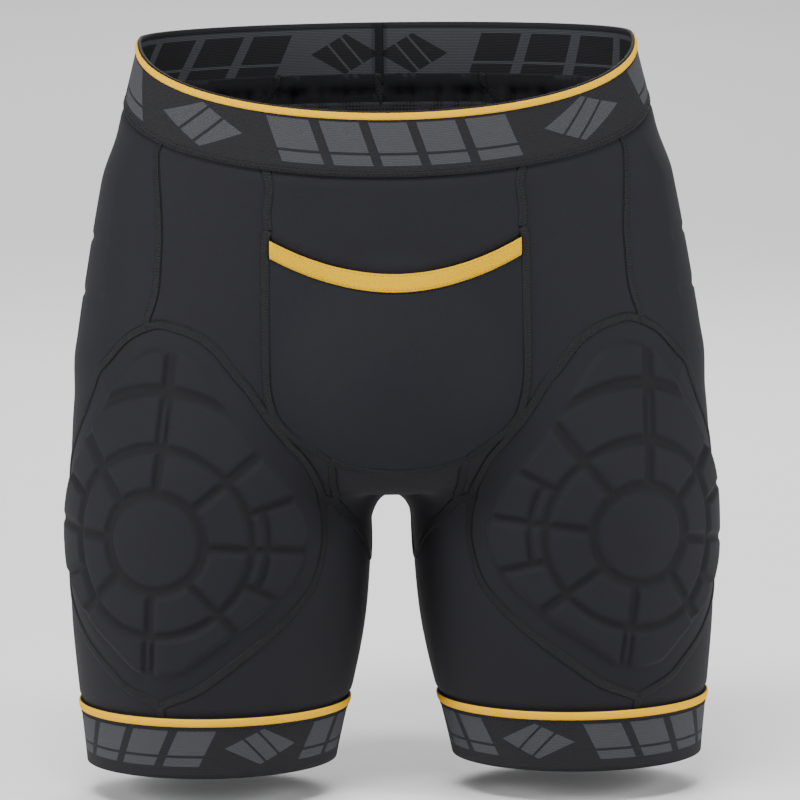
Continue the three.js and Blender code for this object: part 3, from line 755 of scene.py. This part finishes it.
def thigh_blocks(p):
    """Height of the thigh cover in mm, and how deep in a groove each point lies."""
    u, v = pocket_place(p)
    inset = inset_of(u, v, POCKET)
    right = p[..., 0] < 0
    tilt = np.radians(np.where(right, -4.0, 8.0))
    pu = u * np.cos(tilt) + v * np.sin(tilt)
    pv = v * np.cos(tilt) - u * np.sin(tilt)
    r = np.hypot(pu, pv)
    turn = np.degrees(np.arctan2(pv, pu)) % 360

    def spoke(angle, near, far, half=2.8):
        a = np.radians(angle)
        along = pu * np.cos(a) + pv * np.sin(a)
        across = -pu * np.sin(a) + pv * np.cos(a)
        fade = smoothstep(near - 2, near + 1, along) * (1 - smoothstep(far - 1, far + 2, along))
        return groove_cut(across, half, 1.7) * fade

    def ring(radius, half):
        return groove_cut(r - radius, half, 1.7)

    def arc(radius, half, middle, reach):
        off = np.abs((turn - middle + 180) % 360 - 180)
        return ring(radius, half) * (1 - smoothstep(reach - 2, reach + 2, off))

    disc, inner, edge = 29, 55.5, 130
    grooves = [ring(disc, 3.2), ring(inner, 2.7), arc(89, 3.2, 90, 42), arc(64.5, 2.2, 0, 23)]
    grooves += [spoke(angle, disc, inner + 0.5) for angle in range(0, 360, 45)]
    grooves += [spoke(angle, inner - 1.5, edge, 3.4) for angle in (45, 135, 225, 315)]
    grooves += [spoke(angle, inner - 1.5, edge, 2.4) for angle in (22, 0, -22, 158, 180, 203)]
    grooves += [spoke(angle, inner - 1.5, edge + 10, 4.0) for angle in (90, 270)]
    low = np.max(grooves, 0)
    # Narrow strips stand in the wide grooves above and below the disc.
    strip = groove_cut(pu, 1.6, 0.9) * smoothstep(57, 60, pv) * (1 - smoothstep(80, 84, pv))
    strip = np.maximum(strip, groove_cut(pu, 1.4, 0.8) * smoothstep(-78, -74, pv)
                       * (1 - smoothstep(-60, -57, pv)))
    low = low * (1 - 0.75 * strip)
    # Round the side of the thigh the cloth is drawn tight across the grooves.
    low = low * (1 - 0.5 * smoothstep(-58, -90, u))
    on_pad = smoothstep(15.5, 19.5, inset)
    loft = 1.3 * smoothstep(0, 15, inset) + 3.2 * on_pad
    height = loft - (1.9 * low + 0.5 * (1 - smoothstep(24, 29, r))) * on_pad
    return height, low * on_pad


HIP_PAD_ANGLE, HIP_PAD_LEVEL = 4, -0.136


def hip_blocks(p):
    """Height in mm of the hip panel over its pad of six blocks."""
    u = (leg_angle(p) - HIP_PAD_ANGLE) * MM_A_DEGREE
    v = (p[..., 2] - HIP_PAD_LEVEL) * 1000
    fade = np.maximum(np.abs(u) / 37, np.abs(v) / 49)
    loft = 3.7 * (1 - smoothstep(1.0, 1.65, fade))
    low = np.maximum(groove_cut(u, 2.2, 1.6),
                     groove_cut(np.abs(v) - 16.3, 2.2, 1.6))
    return loft - 0.9 * low * (1 - smoothstep(0.95, 1.1, fade))


def gathers(p):
    """Height in mm of the puckers where the seat is drawn in to the waistband."""
    below = (rim(p[..., 1]) - BAND_HEIGHT - p[..., 2]) * 1000
    turn = np.degrees(np.arctan2(p[..., 1], p[..., 0]))
    wave = (np.sin(np.radians(turn * 19)) * 0.8 + np.sin(np.radians(turn * 31 + 40)) * 0.5
            + np.sin(np.radians(turn * 47 + 10)) * 0.5)
    fine = np.sin(np.radians(turn * 83 + 25)) * 0.7 * (1 - smoothstep(8, 26, below))
    behind = smoothstep(0.01, 0.06, p[..., 1])
    near_band = smoothstep(-3, 5, below) * (1 - smoothstep(20, 62, below))
    return 1.3 * (wave + fine) * behind * near_band


def drape(p):
    """Height in mm of the soft folds that pull from the crotch and across the seat."""
    x, y, z = np.abs(p[..., 0]) * 1000, p[..., 1] * 1000, p[..., 2] * 1000
    from_crotch = np.hypot(x - 20, z + 262)
    fan = np.degrees(np.arctan2(z + 262, x - 20))
    pull = np.sin(np.radians(fan * 9 + x * 0.6)) * np.exp(-((from_crotch - 55) / 32) ** 2)
    slow = np.sin(x / 17 + z / 29) * np.sin(z / 21 - y / 33 + 1.3)
    return 0.45 * pull * smoothstep(-225, -262, z) + 0.22 * slow


UNDER = 0.0019


def relief(p):
    """How far the fabric stands off the worn shape, in metres, or lies under an elastic."""
    below_band = rim(p[..., 1]) - BAND_HEIGHT - p[..., 2]
    from_elastic = np.minimum(below_band, p[..., 2] - HEM_TOP)
    tucked = 1 - smoothstep(-0.0005, 0.0055, from_elastic)
    height = np.zeros(p.shape[:-1])
    u, v = pocket_place(p)
    around = (np.abs(u) < 112) & (v > -100) & (v < 132)
    if around.any():
        height[around] += np.maximum(thigh_blocks(p[around])[0], 0)
    upper = (p[..., 2] > -0.23) & (np.abs(leg_angle(p) - HIP_PAD_ANGLE) < 60)
    if upper.any():
        height[upper] += hip_blocks(p[upper])
    return (height + gathers(p) + drape(p)) / 1000 * (1 - tucked) - UNDER * tucked


def raised(p, extra=0.0):
    return pushed(p, relief(p) + extra)


EDGE_GAP = 0.0004


def part_of_skin(name, chosen, finer=0):
    """A piece made of the chosen faces of the skin, cut finer if asked."""
    mesh = skin.data.copy()
    piece = bpy.data.objects.new(name, mesh)
    bpy.context.collection.objects.link(piece)
    mesh.name = name
    part = bmesh.new()
    part.from_mesh(mesh)
    part.faces.ensure_lookup_table()
    unwanted = [f for f, keep in zip(part.faces, chosen) if not keep]
    bmesh.ops.delete(part, geom=unwanted, context="FACES")
    loose = [v for v in part.verts if not v.link_faces]
    bmesh.ops.delete(part, geom=loose, context="VERTS")
    # The cut edge stands a little back from the next panel's, under the seam thread.
    shifts = {}
    for vert in part.verts:
        inner = [e.other_vert(vert).co for e in vert.link_edges if not e.is_boundary]
        if vert.is_boundary and inner:
            toward = sum(inner, Vector()) / len(inner) - vert.co
            shifts[vert] = toward.normalized() * EDGE_GAP
    for vert, shift in shifts.items():
        vert.co += shift
    if finer:
        bmesh.ops.subdivide_edges(part, edges=part.edges, cuts=finer, use_grid_fill=True)
    part.to_mesh(mesh)
    part.free()
    if finer:
        set_points(mesh, onto_body(points_of(mesh), 3))
    for polygon in mesh.polygons:
        polygon.use_smooth = True
    return piece


def object_place(tree):
    """The place of each point on the object, in metres."""
    return add(tree, "TexCoord").outputs["Object"]


def knit_material(name, colour, loop_mm=0.55):
    """Fine stretch knit: small columns of loops, a little uneven, and painted shade in grooves.
    """
    material, tree = new_material(name, 0.78, 0.22)
    fill(tree, tree.nodes["Principled BSDF"], {"Sheen Weight": 0.02})
    place = object_place(tree)
    scaled = add(tree, "VectorMath", {0: place, "Scale": 1000 / loop_mm}, operation="SCALE")
    loops = add(tree, "TexVoronoi", {"Scale": 1.0, "Vector": scaled.outputs[0]})
    cloud = add(tree, "TexNoise", {"Scale": 14, "Detail": 3, "Vector": place})
    tone = add(tree, "MapRange", {"To Min": 0.82, "To Max": 1.18, "Value": cloud.outputs[0]})
    # Painted shade: the colour darkens by up to 40% where the grooves of a pad lie under the
    # cloth.
    groove_shade = add(tree, "Attribute", attribute_name="groove_shade").outputs["Fac"]
    shade = add(tree, "MapRange", {"To Min": 1.0, "To Max": 0.6, "Value": groove_shade})
    share = maths(tree)("MULTIPLY", tone.outputs[0], shade.outputs[0])
    finish_surface(tree, loops.outputs["Distance"], 0.35, 0.0002,
                   blended(tree, share, (0, 0, 0), colour, within=False))
    return material


STRETCH = knit_material("stretch_knit", (0.0068, 0.0068, 0.0094))
POUCH = knit_material("pouch_knit", (0.0060, 0.0063, 0.0096), loop_mm=0.5)

BEND_TOP, BEND_FOOT = (0, 0, -0.125), (0, 0, -0.245)


def follow(piece, side=None):
    """Rides with the hips or with its leg, by where the piece lies; a piece across both stays
    put.
    """
    points = points_of(piece.data)
    top, foot = points[:, 2].max(), points[:, 2].min()
    body = f"{side or 'left'}_leg"
    if foot > BEND_TOP[2]:
        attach(piece, "hips")
    elif top < BEND_FOOT[2]:
        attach(piece, body)
    else:
        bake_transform(piece)


def side_of(name):
    return next((side for side in ("left", "right") if name.endswith(side)), None)


def knit_panel(node, piece, material):
    cloth_thickness(piece, FABRIC)
    piece.data.materials.append(material)
    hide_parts(node)
    follow(piece, side_of(node))


for k, node in enumerate(PANELS):
    if node.startswith(("fly_", "thigh_cover")):
        continue
    panel = part_of_skin(f"{node}_cloth", owner == k)
    set_points(panel.data, raised(points_of(panel.data)))
    knit_panel(node, panel, STRETCH)

# ---- Thigh pad pockets ----------------------------------------------------------------
# Each cover is one piece of the stretch fabric drawn tight over a moulded pad of foam blocks,
# so that the blocks and the grooves between them show through it.
for side in ("left", "right"):
    node = f"thigh_cover_{side}"
    cover = part_of_skin(f"{node}_cloth", owner == PANELS.index(node), finer=1)
    base = points_of(cover.data)
    # The depth of the pad's grooves is kept on the cloth, for the painted shade in them.
    groove_shade = cover.data.attributes.new("groove_shade", "FLOAT", "POINT")
    groove_shade.data.foreach_set("value", thigh_blocks(base)[1])
    set_points(cover.data, raised(base))
    knit_panel(node, cover, STRETCH)

# ---- Fly ------------------------------------------------------------------------------
# The pouch is shaped over the front and open at the top, where a yellow tape binds its edge.
# The upper panel runs down behind it.
AT_EDGE = 0.0014
OVERLAP = 0.015
TAPE_HALF, TAPE_WIDTH = 0.0732, 0.0105

level_off = centres[:, 2] - mouth(centres[:, 0])
is_pouch = owner == PANELS.index("fly_pouch")
is_upper = owner == PANELS.index("fly_panel")

pouch = part_of_skin("fly_pouch_cloth", (is_pouch | is_upper) & (level_off < AT_EDGE))
points = points_of(pouch.data)
over = points[:, 2] - mouth(points[:, 0])
points[:, 2] -= np.where(over > -AT_EDGE, over, 0)
set_points(pouch.data, raised(onto_body(points, 1)))
knit_panel("fly_pouch", pouch, POUCH)

upper = part_of_skin("fly_panel_cloth", is_upper | (is_pouch & (level_off > -OVERLAP)))
points = points_of(upper.data)
behind = 1 - smoothstep(-0.001, 0.004, points[:, 2] - mouth(points[:, 0]))
set_points(upper.data, pushed(raised(points), -UNDER * behind))
knit_panel("fly_panel", upper, STRETCH)


def binding_place(u, v):
    x = (2 * u - 1) * TAPE_HALF
    z = mouth(x) - v * TAPE_WIDTH
    start = np.stack([x, 0 * x, z], -1)
    edge = meet(start, np.array([0.0, -1.0, 0.0]))
    return pushed(edge, 0.0014 - 0.0005 * np.abs(2 * v - 1) ** 4)


binding = sheet_grid("fly_tape", 90, 10, binding_place)
cloth_thickness(binding, 0.0009)
binding.data.materials.append(yarn_material("fly_tape_yarn", (0.61, 0.345, 0.0), 10, 160))
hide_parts("fly_binding")
follow(binding)

# ---- Seams ----------------------------------------------------------------------------
# The panels are joined by flatlock seams: a flat ridge of thread about 5 mm wide, sewn with
# two needle lines and a looping cover thread between them.
SEAM_WIDTH = 0.0056
SEAM_PROUD = 0.0009


def chains_between(first, second):
    """Paths along the skin's edges where two panels meet, longest first."""
    meeting = {}
    for edge in bm.edges:
        if len(edge.link_faces) != 2:
            continue
        pair = {owner[f.index] for f in edge.link_faces}
        if pair == {first, second}:
            a, b = edge.verts
            meeting.setdefault(a.index, []).append(b.index)
            meeting.setdefault(b.index, []).append(a.index)
    paths = []
    left = set(meeting)
    while left:
        ends = [v for v in left if len(meeting[v]) == 1]
        here = min(ends) if ends else min(left)
        path = [here]
        left.discard(here)
        while True:
            onward = [v for v in meeting[here] if v in left]
            if not onward:
                break
            here = onward[0]
            left.discard(here)
            path.append(here)
        if len(path) > 5:
            paths.append(path)
    return sorted(paths, key=len, reverse=True)


def smoothed(path, rounds):
    for _ in range(rounds):
        path[1:-1] = (path[:-2] + 2 * path[1:-1] + path[2:]) / 4
    return onto_body(path, 3)


def resampled(path, pitch):
    steps = np.linalg.norm(np.diff(path, axis=0), axis=1)
    reach = np.concatenate([[0], np.cumsum(steps)])
    count = max(4, int(round(reach[-1] / pitch)))
    at = np.linspace(0, reach[-1], count + 1)
    return np.stack([np.interp(at, reach, path[:, k]) for k in range(3)], -1), at


def drawn(name, points, faces):
    """A smooth piece made of these points and faces, turned to face outwards."""
    mesh = bpy.data.meshes.new(name)
    mesh.from_pydata([tuple(p) for p in points], [], faces)
    piece = bpy.data.objects.new(name, mesh)
    bpy.context.collection.objects.link(piece)
    select_only(piece)
    bpy.ops.object.mode_set(mode="EDIT")
    bpy.ops.mesh.select_all(action="SELECT")
    bpy.ops.mesh.normals_make_consistent(inside=False)
    bpy.ops.object.mode_set(mode="OBJECT")
    bpy.ops.object.shade_smooth()
    return piece


def seam_ridge(name, path):
    """A flat ridge of thread along a path on the skin."""
    path, run = resampled(path, 0.0022)
    tangent = np.gradient(path, axis=0)
    tangent /= np.linalg.norm(tangent, axis=1, keepdims=True)
    across = np.cross(outward(path), tangent)
    across /= np.linalg.norm(across, axis=1, keepdims=True)
    section = [(-1, -0.0004), (-0.92, 0.6 * SEAM_PROUD), (-0.45, SEAM_PROUD),
               (0, 0.9 * SEAM_PROUD), (0.45, SEAM_PROUD), (0.92, 0.6 * SEAM_PROUD), (1, -0.0004)]
    under = [(0.95, -0.0009), (0.6, -0.0014), (0, -0.0015), (-0.6, -0.0014), (-0.95, -0.0009)]
    rings = np.stack([raised(onto_body(path + across * w * SEAM_WIDTH / 2, 2), lift)
                      for w, lift in section + under], 1)
    count, around = rings.shape[:2]
    faces = []
    for i in range(count - 1):
        for k in range(around):
            n = (k + 1) % around
            faces.append((i * around + k, i * around + n, (i + 1) * around + n,
                          (i + 1) * around + k))
    faces.append(tuple(range(around))[::-1])
    faces.append(tuple((count - 1) * around + k for k in range(around)))
    ridge = drawn(name, rings.reshape(-1, 3), faces)
    for key, values in (("run", np.repeat(run * 1000, around)),
                        ("across", np.tile([w for w, _ in section + under], count))):
        ridge.data.attributes.new(key, "FLOAT", "POINT").data.foreach_set("value", values)
    return ridge


def seam_material():
    """Cover thread that loops across the seam, between two needle lines along it."""
    material, tree = new_material("seam_thread", 0.7, 0.3, (0.0032, 0.0034, 0.0046))
    op = maths(tree)
    run, across = (add(tree, "Attribute", attribute_name=key).outputs["Fac"]
                   for key in ("run", "across"))
    loop_mm, needle_at = 0.9, 0.72
    slant = op("MULTIPLY", op("SUBTRACT", op("PINGPONG", run, loop_mm), loop_mm / 2), 1.5)
    off_cover = op("ABSOLUTE", op("SUBTRACT", across, slant))
    off_needle = op("ABSOLUTE", op("SUBTRACT", op("ABSOLUTE", across), needle_at))
    cover = op("SUBTRACT", 1.0, op("MULTIPLY", off_cover, 3.0), clamp=True)
    needle = op("SUBTRACT", 1.0, op("MULTIPLY", off_needle, 7.0), clamp=True)
    finish_surface(tree, op("MAXIMUM", cover, needle), 0.9, 0.0005)
    return material


SEAM_THREAD = seam_material()
number = {name: k for k, name in enumerate(PANELS)}
ridges = {"left": [], "right": [], "middle": []}
for i, first in enumerate(PANELS):
    for second in PANELS[i + 1:]:
        if {first, second} == {"fly_panel", "fly_pouch"}:
            continue
        for path in chains_between(number[first], number[second]):
            path = smoothed(np.array([bm.verts[v].co for v in path]), 14)
            place = side_of(second) or "middle"
            if side_of(first) and side_of(first) != side_of(second):
                place = "middle"
            ridges[place].append(seam_ridge(f"seam_{len(bpy.data.objects)}", path))

for place, parts in ridges.items():
    if not parts:
        continue
    select_only(*parts)
    bpy.ops.object.join()
    seams = bpy.context.object
    seams.name = seams.data.name = f"seams_{place}"
    seams.data.materials.append(SEAM_THREAD)
    follow(seams, place if place != "middle" else None)

bm.free()
bpy.data.objects.remove(skin)

# ---- Sewn edges -----------------------------------------------------------------------
# Two rows of stitches hold the fabric to the waistband, one row holds it to each hem, and a
# row runs along each edge of the yellow tape.


def stitch_row(name, path, lift, length, half_width, material, gap_share=0.3):
    """Short raised stitches along a path, each a small rounded bead of thread."""
    steps, _ = resampled(path, length)
    start, end = steps[:-1], steps[1:]
    along = (end - start) * (1 - gap_share) / 2
    middle = (start + end) / 2
    up = outward(middle)
    side = np.cross(up, along)
    side /= np.linalg.norm(side, axis=1, keepdims=True)
    middle = middle + up * lift
    corners = []
    for a, w, h in ((-1, 0, -0.1), (-0.7, -1, 0), (-0.7, 0, 0.8), (-0.7, 1, 0),
                    (0.7, -1, 0), (0.7, 0, 0.8), (0.7, 1, 0), (1, 0, -0.1)):
        corners.append(middle + along * a + side * w * half_width + up * h * half_width)
    points = np.stack(corners, 1).reshape(-1, 3)
    shape = ((0, 2, 1), (0, 3, 2), (0, 1, 3), (1, 2, 5, 4), (2, 3, 6, 5), (3, 1, 4, 6),
             (7, 4, 5), (7, 5, 6), (7, 6, 4))
    faces = [tuple(8 * i + k for k in face) for i in range(len(middle)) for face in shape]
    row = drawn(name, points, faces)
    row.data.materials.append(material)
    return row


def thread_material(name, colour):
    """Twisted thread: slanting ply lines."""
    material, tree = new_material(name, 0.6, 0.3, colour)
    ply = add(tree, "TexWave", {"Scale": 700, "Vector": object_place(tree)},
              bands_direction="DIAGONAL")
    finish_surface(tree, ply.outputs["Fac"], 0.4, 0.0001)
    return material


DARK_THREAD = thread_material("dark_thread", (0.006, 0.006, 0.008))
YELLOW_THREAD = thread_material("yellow_thread", (0.55, 0.30, 0.0))
THREAD_LIFT, THREAD_STEP, THREAD_HALF = 0.00005, 0.0028, 0.0004
all_round = np.linspace(0, 1, 240)
for row_number, drop in enumerate((0.0345, 0.0368)):
    path = waist_point(all_round * 360 - 90, drop)
    stitches = stitch_row(f"waist_stitches_{row_number + 1}", path, THREAD_LIFT, THREAD_STEP,
                          THREAD_HALF, DARK_THREAD)
    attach(stitches, "hips")
for side, sign in (("left", 1), ("right", -1)):
    path = round_leg(INNER_SEAM + all_round * 360, HEM_TOP - 0.0072)
    path[:, 0] *= sign
    stitches = stitch_row(f"hem_stitches_{side}", path, THREAD_LIFT, THREAD_STEP,
                          THREAD_HALF, DARK_THREAD)
    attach(stitches, f"{side}_leg")
for edge_name, at in (("upper", 0.13), ("lower", 0.87)):
    share = np.linspace(0.01, 0.99, 60)
    path = binding_place(share, at + 0 * share)
    stitches = stitch_row(f"tape_stitches_{edge_name}", path, 0.0, 0.0024, 0.0003,
                          YELLOW_THREAD)
    follow(stitches)

# ---- Pads and their linings -----------------------------------------------------------
# Moulded closed-cell foam in blocks, joined by a thin web, and the mesh that closes each
# pocket on the inside. The covers hide the pads, and the linings show in the openings.


def softened(node, name):
    """A smoother copy of a plain solid."""
    source = bpy.data.objects[node]
    mesh = source.data.copy()
    mesh.transform(source.matrix_world)
    mesh.name = name
    mesh.materials.clear()
    piece = bpy.data.objects.new(name, mesh)
    bpy.context.collection.objects.link(piece)
    select_only(piece)
    bpy.ops.object.mode_set(mode="EDIT")
    bpy.ops.mesh.select_all(action="SELECT")
    bpy.ops.mesh.remove_doubles(threshold=SAME_PLACE)
    bpy.ops.mesh.tris_convert_to_quads()
    bpy.ops.mesh.normals_make_consistent(inside=False)
    bpy.ops.object.mode_set(mode="OBJECT")
    finish_modifier(piece, "SUBSURF", levels=2, render_levels=2)
    bpy.ops.object.shade_smooth()
    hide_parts(node)
    return piece


def foam_material():
    """Closed-cell foam: fine pores, their hollows darkened with painted shade, so the tone is
    slightly uneven.
    """
    material, tree = new_material("moulded_foam", 0.9, 0.25)
    pores = add(tree, "TexVoronoi", {"Scale": 900, "Vector": object_place(tree)})
    share = pores.outputs["Distance"]
    # Painted shade: each pore is darker towards its middle, where it is deepest.
    tone = blended(tree, share, (0.008, 0.008, 0.010), (0.019, 0.019, 0.022))
    finish_surface(tree, share, 0.5, 0.0003, tone)
    return material


def mesh_material():
    """Open pocket mesh: round holes in rows, drawn as relief and painted near-black as the shade
    seen through them.
    """
    material, tree = new_material("pocket_mesh_knit", 0.85, 0.2)
    holes = add(tree, "TexVoronoi", {"Scale": 480, "Randomness": 0.15,
                                     "Vector": object_place(tree)})
    edge = add(tree, "MapRange", {"From Min": 0.22, "From Max": 0.42,
                                  "Value": holes.outputs["Distance"]}).outputs[0]
    # Painted shade: the holes are near-black, standing for the darkness seen through them.
    tone = blended(tree, edge, (0.003, 0.003, 0.0035), (0.017, 0.017, 0.020))
    finish_surface(tree, edge, 0.7, 0.0004, tone)
    return material


FOAM = foam_material()
MESH = mesh_material()
for node in ["tailbone_pad"] + [f"{kind}_{side}" for side in ("left", "right")
                                for kind in ("thigh_pad", "thigh_pad_disc", "hip_pad")]:
    pad = softened(node, f"{node}_foam")
    pad.data.materials.append(FOAM)
    follow(pad, side_of(node))

for node in ["tailbone_lining"] + [f"{kind}_{side}" for side in ("left", "right")
                                   for kind in ("thigh_pad_lining", "hip_pad_lining")]:
    lining = softened(node, f"{node}_mesh")
    lining.data.materials.append(MESH)
    follow(lining, side_of(node))
